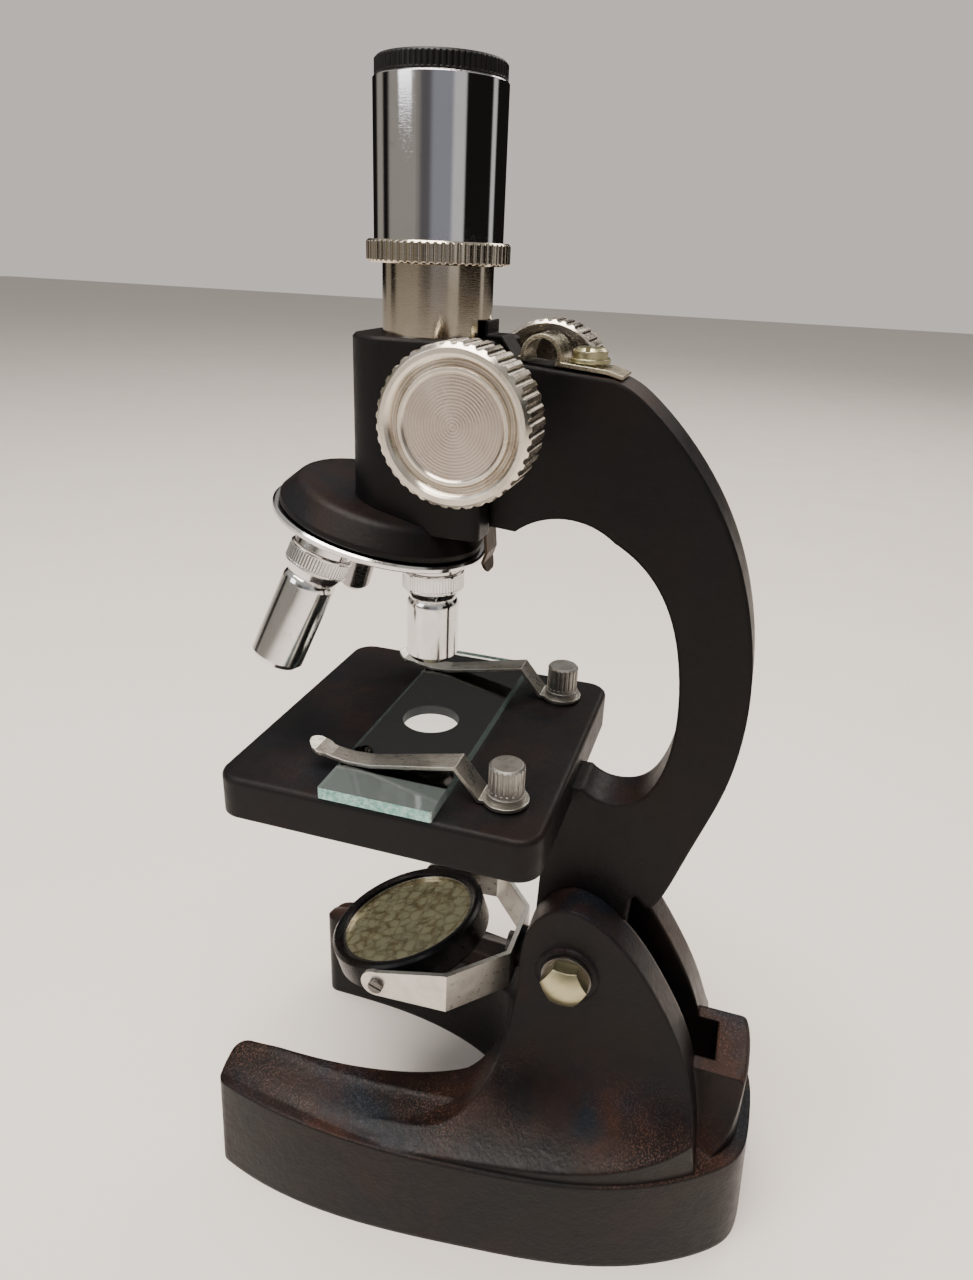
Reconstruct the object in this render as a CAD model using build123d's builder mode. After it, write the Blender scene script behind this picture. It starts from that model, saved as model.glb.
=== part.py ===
from build123d import *
from math import cos, pi, radians, sin, sqrt, tan
import os

os.makedirs("parts", exist_ok=True)

# Student microscope, millimetres, +Z up, -Y towards the open side of the foot, arm at +Y.
# The row origin is under the middle of the foot. Sketches use planes whose y is counted
# from the optical axis, which stands AXIS_Y from the origin.
AXIS_Y = -23.5

# ---------------------------------------------------------------- driving dimensions
# foot
TOE_Y = -45.0
TOE_OUTER = 38.4
FOOT_WIDEST = 43.4
FOOT_REAR = 92.0
SKIRT_HEIGHT = 27.0
SKIRT_DRAFT = 1.6
SKIRT_STEP = 0.8
GAP_HALF_WIDTH = 25.6
GAP_END_Y = 24.6
EAR_OUTER = 15.6
CHANNEL_HALF = 6.5
CHANNEL_FLOOR = 33.0
CHANNEL_REAR = 79.0
BLOCK_FRONT = 72.5
BLOCK_TOP = 49.0
# inclination joint
BOLT_Y = 41.6
BOLT_Z = 72.8
BOLT_RADIUS = 3.0
EAR_PAD = 0.8
# arm
ARM_HALF = 6.2
HUB_RADIUS = 11.0
HEAD_FRONT = 14.5
HEAD_TOP = 211.3
HEAD_FALL = 0.087
HEAD_REAR = 37.5
HEAD_BEAK = 20.2
# focusing slide
HOUSING_HALF = 13.0
HOUSING_FRONT = -15.8
HOUSING_REAR = 14.2
HOUSING_BOTTOM = 176.3
HOUSING_TOP = 214.8
GUIDE_FLOOR = 11.95
GUIDE_CLEAR = 0.15
PINION_Y = 16.6
PINION_Z = 203.4
MODULE = 0.6
PINION_TEETH = 10
PINION_HALF = 2.4
SHAFT_RADIUS = 1.5
RUNNING = 0.06
# knobs
KNOB_FACE = 37.8
KNOB_DEPTH = 10.6
KNOB_RADIUS = 13.8
KNOB_TEETH = 40
# tubes
TUBE_RADIUS = 11.0
SLEEVE_RADIUS = 12.6
RING_RADIUS = 14.1
RING_BOTTOM = 227.9
RING_TOP = 232.0
SLEEVE_TOP = 259.0
EYECUP_TOP = 262.0
# turret
TURRET_TILT = 14.0
TURRET_Y = -12.3
TURRET_Z = 175.0
TURRET_RADIUS = 24.3
DOME_RADIUS = 23.0
# stage
STAGE_HALF = 38.2
STAGE_FRONT = -36.2
STAGE_REAR = 37.0
STAGE_TOP = 124.5
STAGE_BOTTOM = 114.7
STAGE_PLATE = 2.4
STAGE_WALL = 2.6
TONGUE_TOP = 118.9
STAGE_SCREWS = (23.4, 28.2)
STAGE_HEAD = 111.8
STRAP_SCREW_Y = 31.8
LIGHT_HOLE = 6.8
POST_X = 25.6
POST_Y = 26.5
POST_TOP = 134.0
SLIDE_THICK = 2.6
SLIDE_Y = 1.8
# mirror
MIRROR_Y = -4.9
MIRROR_Z = 61.0
MIRROR_TILT = 19.0
MIRROR_RADIUS = 21.3
FORK_X = 22.6
FORK_SHEET = 1.2
FORK_Z = 63.4
FORK_BACK_Y = 25.3


def level(z):
    """Horizontal sketch plane at height z, sketch coordinates (x, y)."""
    return Plane(origin=(0, AXIS_Y, z))


def side(x):
    """Upright plane at x, sketch coordinates (y, z), extruding towards +X."""
    return Plane(origin=(x, AXIS_Y, 0), x_dir=(0, 1, 0), z_dir=(1, 0, 0))


def facing(y):
    """Upright plane at y, sketch coordinates (x, z), extruding towards -Y."""
    return Plane(origin=(0, AXIS_Y + y, 0), x_dir=(1, 0, 0), z_dir=(0, -1, 0))


def head_z(y):
    """Height of the arm's gently sloping top."""
    return HEAD_TOP - HEAD_FALL * (y - HEAD_FRONT)


def column(x, y, radius, low, high, mode=Mode.ADD):
    """Upright cylinder between two heights, added to the part being built."""
    with BuildSketch(level(low)) as section:
        with Locations((x, y)):
            Circle(radius)
    extrude(section.sketch, amount=high - low, mode=mode)


def crossbar(y, z, radius, start, end, mode=Mode.ADD):
    """Cylinder along X between two x values, added to the part being built."""
    with BuildSketch(side(start)) as section:
        with Locations((y, z)):
            Circle(radius)
    extrude(section.sketch, amount=end - start, mode=mode)


# ---------------------------------------------------------------- foot
def foot_outline(z, inset):
    """Outline of the foot at height z; the toes end on one straight line."""
    with BuildSketch(level(z)) as outline:
        with BuildLine():
            flank = Spline(
                (TOE_OUTER - inset, TOE_Y),
                (FOOT_WIDEST - inset, -14),
                (40.2 - inset, 26),
                (29.6 - inset, 70),
                (19.2 - inset, 86.6 - 0.6 * inset),
                (0, FOOT_REAR - inset),
                tangents=((0.35, 1), (-1, 0)),
            )
            mirror(flank, about=Plane.YZ)
            Line((inset - TOE_OUTER, TOE_Y), (TOE_OUTER - inset, TOE_Y))
        make_face()
    return outline.sketch


with BuildPart() as flare:
    # the foot sweeps up into the ears in a hollow curve, seen from the front
    with BuildSketch(facing(FOOT_REAR)):
        with BuildLine():
            sweep_up = Spline(
                (41.5, 26.6), (32, 31.4), (25, 36.8), (19.6, 44.5), (16.7, 54), (EAR_OUTER, 66), (EAR_OUTER, 96),
                tangents=((-1, 0.35), (0, 1)),
            )
            mirror(sweep_up, about=Plane.YZ)
            Line((EAR_OUTER, 96), (-EAR_OUTER, 96))
            Polyline((41.5, 26.6), (41.5, 20), (-41.5, 20), (-41.5, 26.6))
        make_face()
    extrude(amount=FOOT_REAR + 6)
    # outline of the ears from the side
    with BuildSketch(side(-60)):
        with BuildLine():
            ear = Spline(
                (-6, 28.6), (10, 30), (19.5, 32.6), (25, 38.6), (28.2, 51), (29.6, 66), (29.8, 76), (33.0, 86.6),
                (40.4, 91.4), (49.4, 88.0), (63.8, 71), (71.3, 56.7), (75.4, 43), (78.5, 24),
            )
            Polyline(ear @ 1, (95, 24), (95, 10), (-6, 10), ear @ 0)
        make_face()
    extrude(amount=120, mode=Mode.INTERSECT)
    extrude(foot_outline(15, SKIRT_DRAFT + SKIRT_STEP), amount=90, mode=Mode.INTERSECT)

with BuildPart() as roof:
    step = SKIRT_DRAFT + SKIRT_STEP
    loft([foot_outline(22, step), foot_outline(26.6, step + 0.6), foot_outline(29.4, 8), foot_outline(31.6, 16)])

with BuildPart() as rear_block:
    # closes the channel behind the ears: wide at the skirt, drawn in towards its top
    with BuildSketch(facing(FOOT_REAR)):
        with BuildLine():
            flank = Spline((18.4, 26.0), (14.6, 31.5), (11.6, 38.5), (10.4, BLOCK_TOP), tangents=((-0.5, 1), (0, 1)))
            mirror(flank, about=Plane.YZ)
            Line((10.4, BLOCK_TOP), (-10.4, BLOCK_TOP))
            Polyline((18.4, 26.0), (18.4, 20), (-18.4, 20), (-18.4, 26.0))
        make_face()
    extrude(amount=FOOT_REAR - BLOCK_FRONT)
    extrude(foot_outline(15, 4.6), amount=60, mode=Mode.INTERSECT)
    fillet(rear_block.faces().sort_by(Axis.Z)[-1].edges().sort_by(Axis.Y)[-1], 1.6)

with BuildPart() as base:
    loft([foot_outline(0, 0), foot_outline(40, SKIRT_DRAFT * 40 / SKIRT_HEIGHT)])
    with BuildSketch(side(-60)):
        with BuildLine():
            Spline(
                (TOE_Y - 5, SKIRT_HEIGHT), (-20, 28.2), (12, 26.8), (44, 26.6), (66, 27.4), (94, 28.6)
            )
            Polyline((94, 28.6), (110, 60), (-60, 60), (TOE_Y - 5, SKIRT_HEIGHT))
        make_face()
    extrude(amount=120, mode=Mode.SUBTRACT)
    add(roof.part)
    add(flare.part)
    add(rear_block.part)
    with BuildSketch(level(-1)):
        with BuildLine():
            inner = Spline(
                (GAP_HALF_WIDTH, TOE_Y - 2), (23.8, -8), (16.9, 14), (0, GAP_END_Y), tangents=((0, 1), (-1, 0))
            )
            mirror(inner, about=Plane.YZ)
            Line((-GAP_HALF_WIDTH, TOE_Y - 2), (GAP_HALF_WIDTH, TOE_Y - 2))
        make_face()
    extrude(amount=60, mode=Mode.SUBTRACT)
    with BuildSketch(level(CHANNEL_FLOOR)):
        with Locations((0, (10 + CHANNEL_REAR) / 2)):
            Rectangle(2 * CHANNEL_HALF, CHANNEL_REAR - 10)
    extrude(amount=80, mode=Mode.SUBTRACT)
    for end in (-1, 1):
        crossbar(BOLT_Y, BOLT_Z, 7.6, end * (EAR_OUTER - 2), end * (EAR_OUTER + EAR_PAD))
    crossbar(BOLT_Y, BOLT_Z, BOLT_RADIUS, -30, 30, mode=Mode.SUBTRACT)
    toe_edges = base.edges().filter_by(lambda e: abs(e.center().Y - AXIS_Y - TOE_Y) < 1.0 and e.bounding_box().size.Z > 15)
    fillet(toe_edges, 3.5)
base.part.label = "base"
export_step(base.part, "parts/base.step")

# ---------------------------------------------------------------- inclination bolt
HEAD_START = EAR_OUTER + EAR_PAD

with BuildPart() as inclination_bolt:
    crossbar(BOLT_Y, BOLT_Z, BOLT_RADIUS, -27.0, HEAD_START + 1)
    with BuildSketch(side(HEAD_START + 0.8)):
        with Locations((BOLT_Y, BOLT_Z)):
            RegularPolygon(4.9, 6, major_radius=False)
    extrude(amount=5.2)
    with BuildSketch(Plane(origin=(0, AXIS_Y + BOLT_Y, BOLT_Z))):
        with BuildLine():
            ThreePointArc((HEAD_START + 5.6, 0), (HEAD_START + 5.0, 3.4), (HEAD_START + 3.6, 5.9))
            Polyline((HEAD_START + 3.6, 5.9), (-28, 5.9), (-28, 0), (HEAD_START + 5.6, 0))
        make_face()
    revolve(axis=Axis((0, AXIS_Y + BOLT_Y, BOLT_Z), (1, 0, 0)), mode=Mode.INTERSECT)
inclination_bolt.part.label = "inclination_bolt"
export_step(inclination_bolt.part, "parts/inclination_bolt.step")

with BuildPart() as bolt_washers:
    for end in (-1, 1):
        crossbar(BOLT_Y, BOLT_Z, 6.1, end * HEAD_START, end * (HEAD_START + 0.8))
    crossbar(BOLT_Y, BOLT_Z, BOLT_RADIUS, -30, 30, mode=Mode.SUBTRACT)
bolt_washers.part.label = "bolt_washers"
export_step(bolt_washers.part, "parts/bolt_washers.step")

with BuildPart() as bolt_nut:
    with BuildSketch(side(-HEAD_START - 0.8 - 5.0)):
        with Locations((BOLT_Y, BOLT_Z)):
            RegularPolygon(4.9, 6, major_radius=False)
            Circle(BOLT_RADIUS, mode=Mode.SUBTRACT)
    extrude(amount=5.0)
    chamfer(bolt_nut.faces().sort_by(Axis.X)[0].outer_wire().edges(), 0.6)
bolt_nut.part.label = "bolt_nut"
export_step(bolt_nut.part, "parts/bolt_nut.step")

# ---------------------------------------------------------------- arm
with BuildPart() as arm:
    with BuildSketch(side(-ARM_HALF)):
        with BuildLine():
            back = Spline(
                (HEAD_REAR, head_z(HEAD_REAR)), (45.1, 205.0), (54.7, 195.2), (64.0, 180.8), (70.1, 163.2),
                (72.3, 144.5), (70.5, 126.8), (64.4, 106.4), (57.2, 90.0), (BOLT_Y + HUB_RADIUS, BOLT_Z),
                tangents=((1, -0.25), (0, -1)),
            )
            ThreePointArc(back @ 1, (BOLT_Y, BOLT_Z - HUB_RADIUS), (BOLT_Y - HUB_RADIUS, BOLT_Z))
            tongue = Polyline(
                (BOLT_Y - HUB_RADIUS, BOLT_Z), (31.4, 104), (28, 110.4), (21, 113), (20, TONGUE_TOP), (39.4, TONGUE_TOP)
            )
            inside = Spline(
                tongue @ 1, (45.4, 116.6), (51.6, 118.4), (56.2, 125.8), (58.1, 138.5), (57.0, 152.6),
                (53.0, 165.6), (41.1, 177.7),
            )
            crown = ThreePointArc(inside @ 1, (31.0, 181.4), (HEAD_BEAK, 177.5))
            Polyline(crown @ 1, (HEAD_FRONT, 178.0), (HEAD_FRONT, HEAD_TOP), back @ 0)
        make_face()
    extrude(amount=2 * ARM_HALF)
    # dovetail prongs that guide the housing, with the rack between them
    with BuildSketch(level(179)):
        with BuildLine():
            Polyline((2.8, 15.5), (5.0, 15.5), (5.0, HOUSING_REAR), (5.9, 12.1), (2.8, 12.1), (2.8, 15.5))
        make_face()
        mirror(about=Plane.YZ)
    extrude(amount=31)
    # seat of the mirror fork
    with BuildSketch(facing(38)):
        with Locations((0, FORK_Z)):
            Circle(5.4)
    extrude(amount=38 - FORK_BACK_Y - FORK_SHEET / 2 - 0.1)
    # pinion pocket, shaft bore, bolt bore and screw holes
    crossbar(PINION_Y, PINION_Z, 4.1, -2.8, 2.8, mode=Mode.SUBTRACT)
    crossbar(PINION_Y, PINION_Z, 2.05, -10, 10, mode=Mode.SUBTRACT)
    crossbar(BOLT_Y, BOLT_Z, BOLT_RADIUS + RUNNING, -10, 10, mode=Mode.SUBTRACT)
    with BuildSketch(facing(38)):
        with Locations((0, FORK_Z)):
            Circle(1.5)
    extrude(amount=20, mode=Mode.SUBTRACT)
    for screw_y in STAGE_SCREWS:
        column(0, screw_y, 1.7, 104, 120, mode=Mode.SUBTRACT)
        column(0, screw_y, 2.35, 100, STAGE_HEAD, mode=Mode.SUBTRACT)
    column(0, STRAP_SCREW_Y, 1.5, 203, 214, mode=Mode.SUBTRACT)
arm.part.label = "arm"
export_step(arm.part, "parts/arm.step")

with BuildPart() as pinion_bushes:
    for end in (-1, 1):
        crossbar(PINION_Y, PINION_Z, 2.05, end * 2.8, end * (ARM_HALF + 0.5))
    crossbar(PINION_Y, PINION_Z, SHAFT_RADIUS + RUNNING, -10, 10, mode=Mode.SUBTRACT)
pinion_bushes.part.label = "pinion_bushes"
export_step(pinion_bushes.part, "parts/pinion_bushes.step")

# ---------------------------------------------------------------- focusing housing and rack
# the turret leans forwards; everything under the housing is drawn about this plane
LEAN = radians(TURRET_TILT)
TURRET = Plane(origin=(0, AXIS_Y + TURRET_Y, TURRET_Z), x_dir=(1, 0, 0), z_dir=(0, sin(LEAN), cos(LEAN)))
COVER_FLOOR = 3.0
INDEX_SCREW_Y = 10.4

with BuildPart() as housing_block:
    with BuildSketch(level(HOUSING_BOTTOM)) as plan:
        with Locations((0, (HOUSING_FRONT + HOUSING_REAR) / 2)):
            Rectangle(2 * HOUSING_HALF, HOUSING_REAR - HOUSING_FRONT)
        fillet(plan.vertices().group_by(Axis.Y)[0], 8.5)
        fillet(plan.vertices().group_by(Axis.Y)[-1], 1.6)
    extrude(amount=HOUSING_TOP - HOUSING_BOTTOM)
    chamfer(housing_block.faces().sort_by(Axis.Z)[-1].edges(), 0.6)
    with BuildSketch(TURRET.offset(COVER_FLOOR)):
        Rectangle(90, 90)
    extrude(amount=-20, mode=Mode.SUBTRACT)

with BuildPart() as body_housing:
    add(housing_block.part)
    column(0, 0, TUBE_RADIUS, HOUSING_BOTTOM + 3, HOUSING_TOP + 1, mode=Mode.SUBTRACT)
    column(0, 0, 7.0, HOUSING_BOTTOM - 1, HOUSING_BOTTOM + 4, mode=Mode.SUBTRACT)
    column(0, INDEX_SCREW_Y, 0.9, HOUSING_BOTTOM - 1, 178.5, mode=Mode.SUBTRACT)
    with BuildSketch(level(HOUSING_BOTTOM - 1)):
        with BuildLine():
            mouth = 5.0 + GUIDE_CLEAR
            floor_half = 5.96 + GUIDE_CLEAR
            Polyline(
                (-mouth, 16), (-mouth, HOUSING_REAR), (-floor_half, GUIDE_FLOOR), (floor_half, GUIDE_FLOOR),
                (mouth, HOUSING_REAR), (mouth, 16), (-mouth, 16),
            )
        make_face()
    extrude(amount=60, mode=Mode.SUBTRACT)
body_housing.part.label = "body_housing"

RACK_PITCH_Y = PINION_Y - MODULE * PINION_TEETH / 2
RACK_LOW = 184.0
RACK_HIGH = 213.5
PITCH = MODULE * pi

with BuildPart() as rack:
    with BuildSketch(side(-PINION_HALF)):
        with Locations(((GUIDE_FLOOR + RACK_PITCH_Y - 0.75) / 2, (RACK_LOW + RACK_HIGH) / 2)):
            Rectangle(RACK_PITCH_Y - 0.75 - GUIDE_FLOOR, RACK_HIGH - RACK_LOW)
        first = int((RACK_LOW - PINION_Z) / PITCH) + 1
        last = int((RACK_HIGH - PINION_Z) / PITCH) - 1
        for index in range(first, last + 1):
            middle = PINION_Z + (index + 0.5) * PITCH
            with BuildLine():
                Polyline(
                    (RACK_PITCH_Y - 0.85, middle - 0.66), (RACK_PITCH_Y + 0.48, middle - 0.22),
                    (RACK_PITCH_Y + 0.48, middle + 0.22), (RACK_PITCH_Y - 0.85, middle + 0.66),
                    (RACK_PITCH_Y - 0.85, middle - 0.66),
                )
            make_face()
    extrude(amount=2 * PINION_HALF)
    for screw_z in (186, 211.5):
        with BuildSketch(facing(20)):
            with Locations((0, screw_z)):
                Circle(0.9)
        extrude(amount=9, mode=Mode.SUBTRACT)
rack.part.label = "rack"
export_step(rack.part, "parts/rack.step")

with BuildPart() as rack_screws:
    for screw_z in (186, 211.5):
        with BuildSketch(facing(12.6)):
            with Locations((0, screw_z)):
                Circle(0.9)
        extrude(amount=1.3)
rack_screws.part.label = "rack_screws"
export_step(rack_screws.part, "parts/rack_screws.step")

with body_housing:
    for screw_z in (186, 211.5):
        with BuildSketch(facing(13)):
            with Locations((0, screw_z)):
                Circle(0.9)
        extrude(amount=3, mode=Mode.SUBTRACT)
export_step(body_housing.part, "parts/body_housing.step")

# ---------------------------------------------------------------- pinion, shaft and knobs
ADDENDUM = 0.5
DEDENDUM = 0.68
PITCH_RADIUS = MODULE * PINION_TEETH / 2

with BuildPart() as pinion_gear:
    with BuildSketch(Plane(origin=(-PINION_HALF, AXIS_Y + PINION_Y, PINION_Z), x_dir=(0, 1, 0), z_dir=(1, 0, 0))):
        Circle(PITCH_RADIUS - DEDENDUM)
        with PolarLocations(0, PINION_TEETH, start_angle=180):
            Polygon(
                (PITCH_RADIUS - DEDENDUM - 0.2, -0.56), (PITCH_RADIUS, -0.42), (PITCH_RADIUS + ADDENDUM, -0.16),
                (PITCH_RADIUS + ADDENDUM, 0.16), (PITCH_RADIUS, 0.42), (PITCH_RADIUS - DEDENDUM - 0.2, 0.56),
                align=None,
            )
        Circle(SHAFT_RADIUS, mode=Mode.SUBTRACT)
    extrude(amount=2 * PINION_HALF)
pinion_gear.part.label = "pinion_gear"
export_step(pinion_gear.part, "parts/pinion_gear.step")

with BuildPart() as pinion_shaft:
    crossbar(PINION_Y, PINION_Z, SHAFT_RADIUS, -KNOB_FACE + 2.4, KNOB_FACE - 2.4)
pinion_shaft.part.label = "pinion_shaft"
export_step(pinion_shaft.part, "parts/pinion_shaft.step")


def knob_section(outward):
    """Half section of a hollow knob turned about the shaft; outward is +1 or -1."""
    axis_plane = Plane(origin=(0, AXIS_Y + PINION_Y, PINION_Z), x_dir=(outward, 0, 0), z_dir=(0, 0, outward))
    face = KNOB_FACE
    back = KNOB_FACE - KNOB_DEPTH
    with BuildSketch(axis_plane) as section:
        with BuildLine():
            Polyline(
                (back, 3.6), (back, SHAFT_RADIUS), (face - 2.4, SHAFT_RADIUS), (face - 2.4, 0), (face - 1.0, 0),
                (face - 1.0, 8.8), (face - 0.6, 9.2), (face - 0.6, 9.8), (face - 1.2, 10.2), (face - 1.2, 10.9),
                (face - 0.4, 11.5), (face, 12.0), (face, 12.9), (face - 0.9, KNOB_RADIUS),
                (back + 0.8, KNOB_RADIUS), (back, KNOB_RADIUS - 0.8), (back, KNOB_RADIUS - 2.4),
                (face - 2.8, KNOB_RADIUS - 2.4), (face - 2.8, 3.6), (back, 3.6),
            )
        make_face()
    return section.sketch


for side_name, outward in (("right", 1), ("left", -1)):
    with BuildPart() as focus_knob:
        revolve(knob_section(outward), axis=Axis((0, AXIS_Y + PINION_Y, PINION_Z), (1, 0, 0)))
        with BuildSketch(side(outward * (KNOB_FACE - KNOB_DEPTH - 1))):
            with Locations((PINION_Y, PINION_Z)):
                with PolarLocations(KNOB_RADIUS + 0.25, KNOB_TEETH):
                    Circle(0.72)
        extrude(amount=outward * (KNOB_DEPTH + 2), mode=Mode.SUBTRACT)
    focus_knob.part.label = "focus_knob_" + side_name
    export_step(focus_knob.part, "parts/focus_knob_" + side_name + ".step")

# ---------------------------------------------------------------- pinion strap and stop plate
STRAP_HALF = 4.6
STRAP_SHEET = 0.8
STOP_SHEET = 0.5
STOP_LIFT = 0.05 + STOP_SHEET / 2
STRAP_LIFT = 0.10 + STOP_SHEET + STRAP_SHEET / 2

with BuildPart() as stop_plate:
    with BuildSketch(side(-3.8)):
        with BuildLine():
            run = Polyline(
                (11.6, 218.0), (11.6, 215.35), (14.6, 215.35), (17.6, head_z(17.6) + STOP_LIFT),
                (35.6, head_z(35.6) + STOP_LIFT),
            )
            offset(run, STOP_SHEET / 2, kind=Kind.INTERSECTION)
        make_face()
    extrude(amount=7.6)
    column(0, STRAP_SCREW_Y, 1.5, 203, 216, mode=Mode.SUBTRACT)
stop_plate.part.label = "stop_plate"
export_step(stop_plate.part, "parts/stop_plate.step")

with BuildPart() as pinion_strap:
    with BuildSketch(side(-STRAP_HALF)):
        with BuildLine():
            foot = Line((18.7, head_z(18.7) + STRAP_LIFT), (19.4, head_z(19.4) + STRAP_LIFT))
            arch = ThreePointArc(foot @ 1, (22.9, 216.2), (26.4, head_z(26.4) + STRAP_LIFT))
            seat = Polyline(arch @ 1, (36.0, head_z(36.0) + STRAP_LIFT), (39.0, 209.6))
            offset(foot + arch + seat, STRAP_SHEET / 2, kind=Kind.INTERSECTION)
        make_face()
    extrude(amount=2 * STRAP_HALF)
    column(0, STRAP_SCREW_Y, 1.5, 203, 216, mode=Mode.SUBTRACT)
pinion_strap.part.label = "pinion_strap"
export_step(pinion_strap.part, "parts/pinion_strap.step")

SCREW_SEAT = head_z(STRAP_SCREW_Y - 4.0) + STRAP_LIFT + STRAP_SHEET / 2 + 0.05
with BuildPart() as strap_screw:
    column(0, STRAP_SCREW_Y, 1.5, 203.2, SCREW_SEAT + 0.2)
    column(0, STRAP_SCREW_Y, 4.0, SCREW_SEAT, SCREW_SEAT + 0.7)
    column(0, STRAP_SCREW_Y, 3.4, SCREW_SEAT + 0.6, SCREW_SEAT + 2.8)
    chamfer(strap_screw.faces().sort_by(Axis.Z)[-1].edges(), 0.6)
    with BuildSketch(level(SCREW_SEAT + 2.1)):
        with Locations((0, STRAP_SCREW_Y)):
            Rectangle(9, 0.9)
    extrude(amount=2, mode=Mode.SUBTRACT)
strap_screw.part.label = "strap_screw"
export_step(strap_screw.part, "parts/strap_screw.step")

# ---------------------------------------------------------------- tubes and eyepiece
TUBE_LOW = HOUSING_BOTTOM + 3
TUBE_HIGH = 250.0

with BuildPart() as body_tube:
    column(0, 0, TUBE_RADIUS, TUBE_LOW, TUBE_HIGH)
    column(0, 0, TUBE_RADIUS - 0.9, TUBE_LOW - 1, TUBE_HIGH + 1, mode=Mode.SUBTRACT)
body_tube.part.label = "body_tube"
export_step(body_tube.part, "parts/body_tube.step")


def lens(middle, radius, thickness):
    """Biconvex lens on the optical axis, thinner at the edge."""
    with BuildSketch(Plane(origin=(0, AXIS_Y, middle), x_dir=(1, 0, 0), z_dir=(0, -1, 0))) as section:
        with BuildLine():
            upper = TangentArc((0, thickness / 2), (radius, thickness * 0.2), tangent=(1, 0))
            lower = TangentArc((0, -thickness / 2), (radius, -thickness * 0.2), tangent=(1, 0))
            Line(upper @ 0, lower @ 0)
            Line(upper @ 1, lower @ 1)
        make_face()
    revolve(section.sketch, axis=Axis((0, AXIS_Y, 0), (0, 0, 1)))


with BuildPart() as field_lens:
    lens(244.0, TUBE_RADIUS - 0.9, 4.0)
field_lens.part.label = "field_lens"
export_step(field_lens.part, "parts/field_lens.step")

with BuildPart() as eyepiece_sleeve:
    column(0, 0, SLEEVE_RADIUS, RING_BOTTOM, SLEEVE_TOP)
    column(0, 0, TUBE_RADIUS + RUNNING, RING_BOTTOM - 1, SLEEVE_TOP + 1, mode=Mode.SUBTRACT)
    chamfer(eyepiece_sleeve.faces().sort_by(Axis.Z)[-1].outer_wire().edges(), 0.4)
eyepiece_sleeve.part.label = "eyepiece_sleeve"
export_step(eyepiece_sleeve.part, "parts/eyepiece_sleeve.step")

with BuildPart() as zoom_ring:
    column(0, 0, RING_RADIUS, RING_BOTTOM, RING_TOP)
    chamfer(zoom_ring.edges(), 0.45)
    column(0, 0, SLEEVE_RADIUS, RING_BOTTOM - 1, RING_TOP + 1, mode=Mode.SUBTRACT)
    with BuildSketch(level(RING_BOTTOM - 1)):
        with PolarLocations(RING_RADIUS + 0.22, 60):
            Circle(0.5)
    extrude(amount=RING_TOP - RING_BOTTOM + 2, mode=Mode.SUBTRACT)
zoom_ring.part.label = "zoom_ring"
export_step(zoom_ring.part, "parts/zoom_ring.step")

EYECUP_RADIUS = 12.3
with BuildPart() as eyecup:
    with BuildSketch(facing(0)):
        with BuildLine():
            Polyline(
                (5.2, 254), (TUBE_RADIUS, 254), (TUBE_RADIUS, SLEEVE_TOP), (EYECUP_RADIUS, SLEEVE_TOP),
                (EYECUP_RADIUS, EYECUP_TOP - 0.5), (EYECUP_RADIUS - 0.5, EYECUP_TOP), (10.6, EYECUP_TOP),
                (10.0, EYECUP_TOP - 0.6), (7.6, 260.2), (5.2, 259.4), (5.2, 258.4), (7.2, 258.4), (7.2, 255.2),
                (5.2, 255.2), (5.2, 254),
            )
        make_face()
    revolve(axis=Axis((0, AXIS_Y, 0), (0, 0, 1)))
    with BuildSketch(level(SLEEVE_TOP + 0.3)):
        with PolarLocations(EYECUP_RADIUS + 0.1, 72):
            Circle(0.32)
    extrude(amount=5, mode=Mode.SUBTRACT)
eyecup.part.label = "eyecup"
export_step(eyecup.part, "parts/eyecup.step")

with BuildPart() as eye_lens:
    lens(256.8, 7.2, 3.0)
eye_lens.part.label = "eye_lens"
export_step(eye_lens.part, "parts/eye_lens.step")

# ---------------------------------------------------------------- nosepiece
TURRET_SECTION = Plane(origin=TURRET.origin, x_dir=(1, 0, 0), z_dir=TURRET.y_dir * -1)
TURRET_AXIS = Axis(TURRET.origin, TURRET.z_dir)
PLATE = 1.5
OBJECTIVES = 3

with BuildPart() as nosepiece_cover:
    with BuildSketch(TURRET_SECTION):
        with BuildLine():
            rim = Polyline((0, 0.6), (DOME_RADIUS - 1.6, 0.6), (DOME_RADIUS - 1.6, 0.3), (DOME_RADIUS, 0.3),
                           (DOME_RADIUS, 1.6), (DOME_RADIUS - 2.9, 5.4))
            crown = ThreePointArc(rim @ 1, (DOME_RADIUS - 3.9, 6.15), (DOME_RADIUS - 5.2, 6.4))
            Polyline(crown @ 1, (0, 6.6), (0, 0.6))
        make_face()
    revolve(axis=TURRET_AXIS)
    # the housing stands in a cut across the cover's crown
    add(housing_block.part, mode=Mode.SUBTRACT)
    with BuildSketch(level(174.3)):
        with Locations((0, 14)):
            Rectangle(8.4, 12)
    extrude(amount=12, mode=Mode.SUBTRACT)
    column(0, 0, 7.0, 160, 190, mode=Mode.SUBTRACT)
    with BuildSketch(TURRET):
        Circle(2.0)
    extrude(amount=12, both=True, mode=Mode.SUBTRACT)
nosepiece_cover.part.label = "nosepiece_cover"
export_step(nosepiece_cover.part, "parts/nosepiece_cover.step")

# the optical axis crosses the turret plate here; each objective stands on it in turn
SEAT_Z = TURRET_Z + TURRET_Y * tan(LEAN)


def turned(shape, index):
    """Copy of a piece turned about the turret axis to the given station."""
    return shape.rotate(TURRET_AXIS, 360 / OBJECTIVES * index)


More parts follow.
